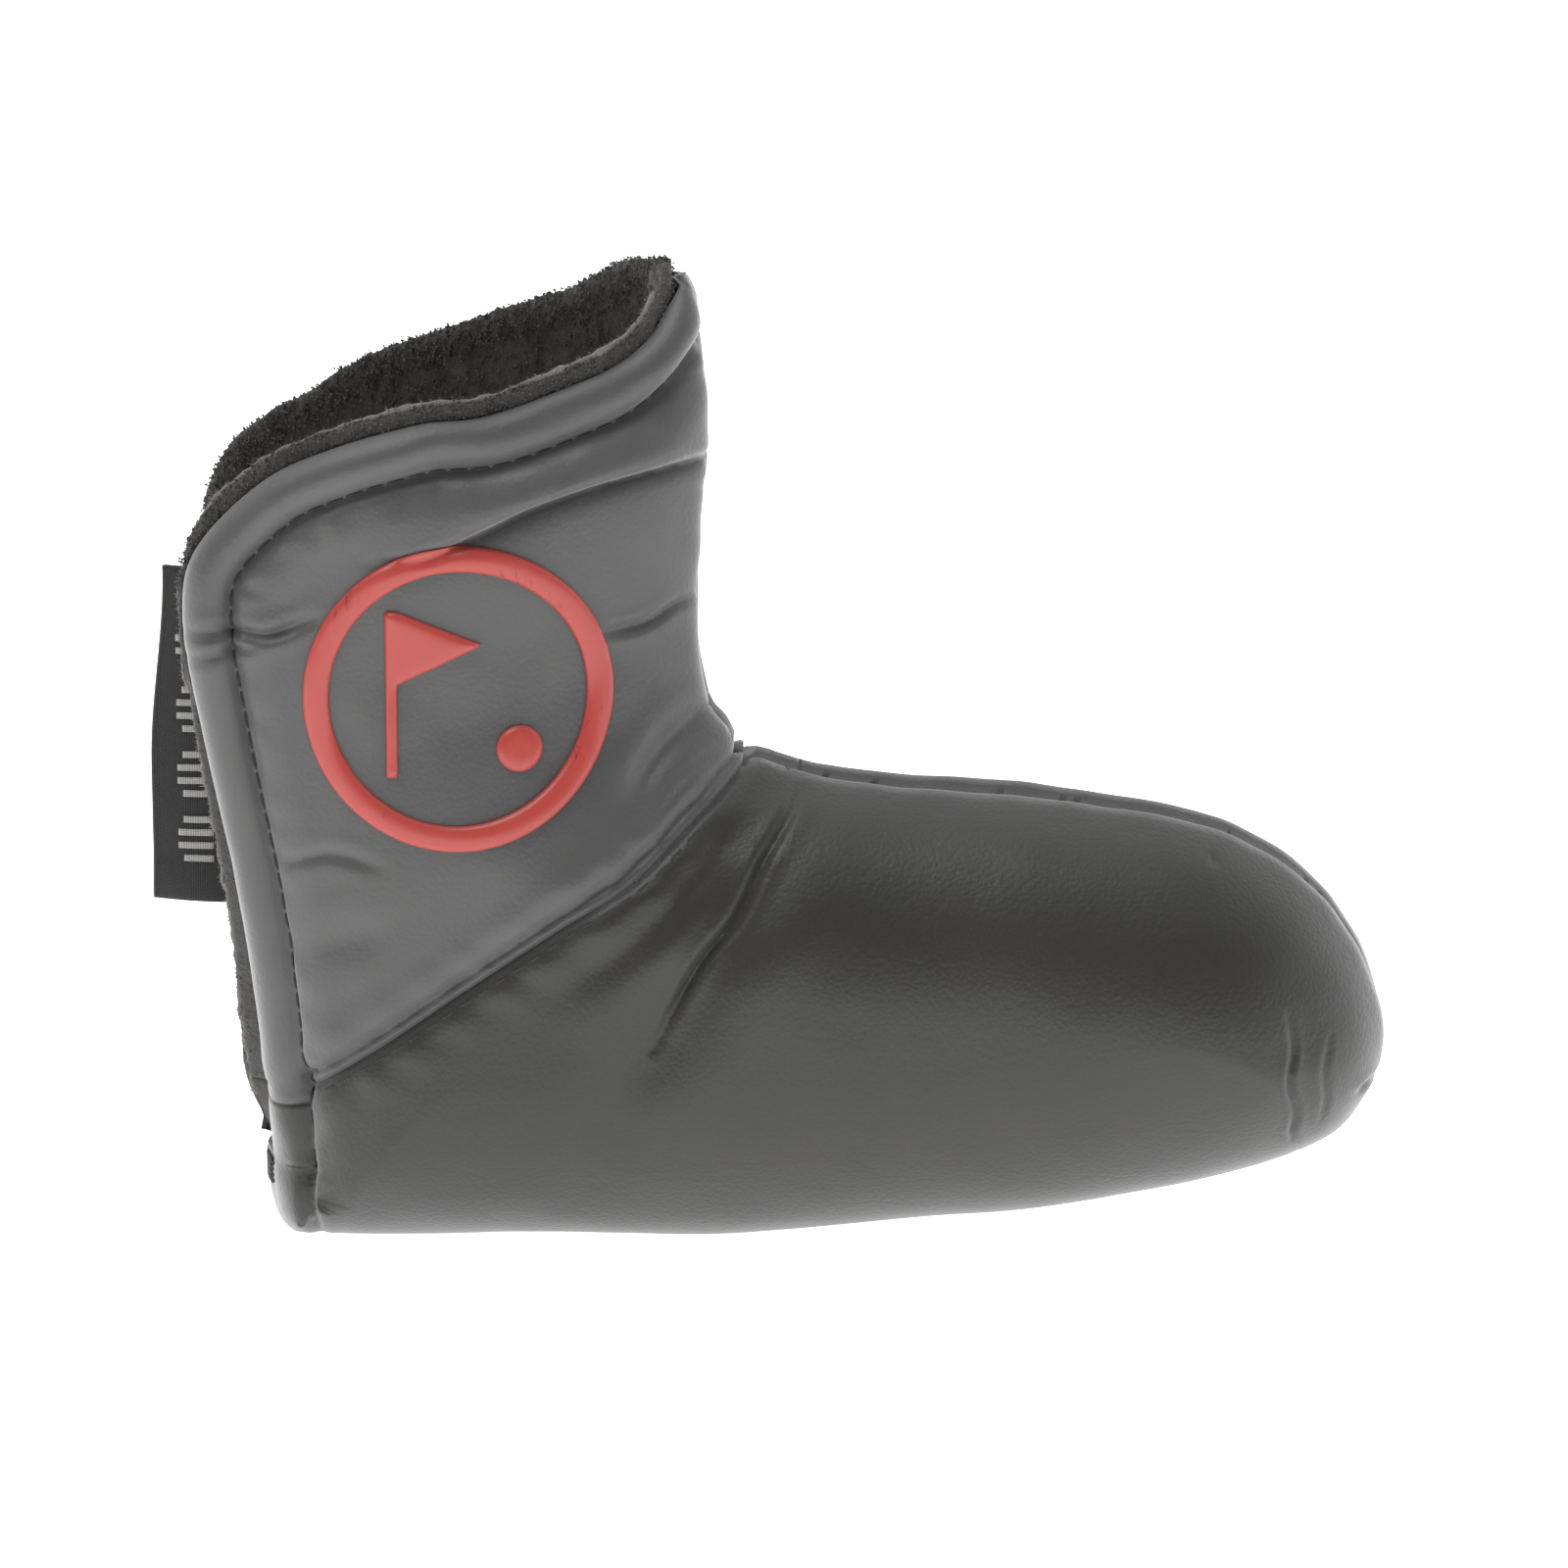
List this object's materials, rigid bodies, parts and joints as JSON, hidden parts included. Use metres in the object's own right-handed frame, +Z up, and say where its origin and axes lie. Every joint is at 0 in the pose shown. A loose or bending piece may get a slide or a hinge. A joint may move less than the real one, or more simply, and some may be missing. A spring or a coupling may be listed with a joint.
{
  "type": "putter head cover",
  "caption": "Padded L-shaped cover for a blade putter head, with a tall open sleeve whose two lips part at a heel slit, a raised emblem and a woven side label.",
  "frame": {"origin": "middle of the flat patch that the sole rests on", "axes": "+X from the heel slit to the toe, -Y out of the decorated front, +Z up from the sole to the mouth"},
  "size_m": [0.1755, 0.049, 0.1428],
  "materials": {
    "grey_leather": "soft pebbled synthetic leather",
    "charcoal_leather": "soft pebbled synthetic leather",
    "foam": "open-cell padding foam",
    "black_plush": "short plush pile",
    "grey_thread": "twisted polyester thread",
    "emblem_rubber": "satin raised rubber",
    "label_tape": "woven tape",
    "label_thread": "woven thread",
    "magnet_steel": "nickel plated"
  },
  "bodies": {
    "cover": {"body_leather": "charcoal_leather", "body_foam": "foam", "body_lining": "black_plush", "crown_seam_thread": "grey_thread", "toe_side_seam_thread": "grey_thread", "slit_bartack": "grey_thread", "emblem_ring_body": "emblem_rubber", "emblem_ball": "emblem_rubber", "front_sleeve_panel": "grey_leather", "front_sleeve_foam": "foam", "front_sleeve_lining": "black_plush", "front_seam_thread_upper": "grey_thread", "front_seam_thread_lower": "grey_thread", "back_sleeve_panel": "grey_leather", "back_sleeve_foam": "foam", "back_sleeve_lining": "black_plush", "back_seam_thread_upper": "grey_thread", "back_seam_thread_lower": "grey_thread"},
    "front_lip": {"front_lip_panel": "grey_leather", "front_lip_foam": "foam", "front_lip_lining": "black_plush", "front_hem_thread": "grey_thread", "front_closure_magnet": "magnet_steel", "emblem_ring_lip": "emblem_rubber", "emblem_flag": "emblem_rubber"},
    "back_lip": {"back_lip_panel": "grey_leather", "back_lip_foam": "foam", "back_lip_lining": "black_plush", "back_hem_thread": "grey_thread", "back_closure_magnet": "magnet_steel"},
    "label": {"side_label": "label_tape", "label_weave": "label_thread"}
  },
  "joints": [
    {"name": "front_lip_fold", "type": "hinge", "parent": "cover", "child": "front_lip", "pos_m": [-0.053, -0.012, 0.022], "axis": [0.4682, 0, 0.8836], "range_deg": [-16, 14], "stiffness_Nm_per_rad": 0.15},
    {"name": "back_lip_fold", "type": "hinge", "parent": "cover", "child": "back_lip", "pos_m": [-0.053, 0.012, 0.022], "axis": [-0.4682, 0, -0.8836], "range_deg": [-16, 14], "stiffness_Nm_per_rad": 0.15},
    {"name": "label_bend", "type": "hinge", "parent": "back_lip", "child": "label", "pos_m": [-0.05644, 0.0175, 0.046], "axis": [-0.1135, 0, 0.9935], "range_deg": [-35, 35], "stiffness_Nm_per_rad": 0.002}
  ]
}
